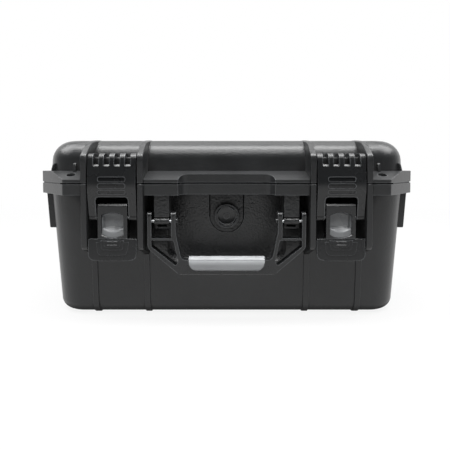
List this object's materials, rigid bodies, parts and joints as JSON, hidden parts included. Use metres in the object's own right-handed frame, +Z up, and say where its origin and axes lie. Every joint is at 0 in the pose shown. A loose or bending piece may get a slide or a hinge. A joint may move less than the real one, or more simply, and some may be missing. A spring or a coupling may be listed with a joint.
{
  "type": "graded_card_storage_case",
  "caption": "Hard shell storage case for graded card slabs: hinged lid with seal, claw latches with sliding triggers, folding front handle, pressure valve and slotted foam.",
  "frame": {"origin": "on the ground under the middle of the case", "axes": "+X to the right of someone facing the latches, along the case's width; +Y towards the hinges; +Z up"},
  "size_m": [0.406, 0.3364, 0.189],
  "materials": {
    "shell_plastic": "moulded polypropylene with a fine grain",
    "latch_plastic": "smooth satin nylon",
    "trigger_plastic": "smooth light grey",
    "grip_rubber": "soft matte light grey",
    "pin_steel": "bright stainless",
    "foam": "closed-cell foam",
    "seal_rubber": "soft matte black"
  },
  "bodies": {
    "base": {"base_shell": "shell_plastic", "foam_insert": "foam", "foam_base_pad": "foam", "valve_body": "shell_plastic", "valve_cap": "latch_plastic", "valve_seal": "seal_rubber", "valve_nut": "latch_plastic", "hinge_pin_left": "pin_steel", "hinge_pin_right": "pin_steel", "lever_pin_left": "pin_steel", "lever_pin_right": "pin_steel"},
    "lid": {"lid_shell": "shell_plastic", "gasket": "seal_rubber", "lid_foam": "foam"},
    "handle": {"handle_frame": "latch_plastic", "handle_grip": "grip_rubber", "handle_pin_left": "pin_steel", "handle_pin_right": "pin_steel"},
    "lever_left": {"latch_lever_left": "latch_plastic", "claw_pin_left_outer": "pin_steel", "claw_pin_left_inner": "pin_steel", "trigger_spring_left": "pin_steel"},
    "claw_left": {"latch_claw_left": "latch_plastic"},
    "trigger_left": {"latch_trigger_left": "trigger_plastic"},
    "lever_right": {"latch_lever_right": "latch_plastic", "claw_pin_right_outer": "pin_steel", "claw_pin_right_inner": "pin_steel", "trigger_spring_right": "pin_steel"},
    "claw_right": {"latch_claw_right": "latch_plastic"},
    "trigger_right": {"latch_trigger_right": "trigger_plastic"}
  },
  "joints": [
    {"name": "lid_hinge", "type": "hinge", "parent": "base", "child": "lid", "pos_m": [0, 0.16275, 0.1434], "axis": [-1, 0, 0], "range_deg": [0, 105]},
    {"name": "handle_fold", "type": "hinge", "parent": "base", "child": "handle", "pos_m": [0, -0.15925, 0.1054], "axis": [-1, 0, 0], "range_deg": [0, 95]},
    {"name": "lever_left_swing", "type": "hinge", "parent": "base", "child": "lever_left", "pos_m": [-0.1134, -0.15345, 0.115], "axis": [-1, 0, 0], "range_deg": [0, 102]},
    {"name": "claw_left_swing", "type": "hinge", "parent": "lever_left", "child": "claw_left", "pos_m": [-0.1134, -0.16095, 0.1098], "axis": [1, 0, 0], "range_deg": [0, 113]},
    {"name": "trigger_left_slide", "type": "slide", "parent": "lever_left", "child": "trigger_left", "axis": [0, 0, -1], "range_m": [0, 0.0032], "stiffness_N_per_m": 400, "springref_m": -0.003, "deforming": ["trigger_spring_left"]},
    {"name": "lever_right_swing", "type": "hinge", "parent": "base", "child": "lever_right", "pos_m": [0.1134, -0.15345, 0.115], "axis": [-1, 0, 0], "range_deg": [0, 102]},
    {"name": "claw_right_swing", "type": "hinge", "parent": "lever_right", "child": "claw_right", "pos_m": [0.1134, -0.16095, 0.1098], "axis": [1, 0, 0], "range_deg": [0, 113]},
    {"name": "trigger_right_slide", "type": "slide", "parent": "lever_right", "child": "trigger_right", "axis": [0, 0, -1], "range_m": [0, 0.0032], "stiffness_N_per_m": 400, "springref_m": -0.003, "deforming": ["trigger_spring_right"]}
  ],
  "couplings": [
    {"joint": "claw_left_swing", "follows": "lever_left_swing", "ratio": 1.1},
    {"joint": "claw_right_swing", "follows": "lever_right_swing", "ratio": 1.1}
  ]
}
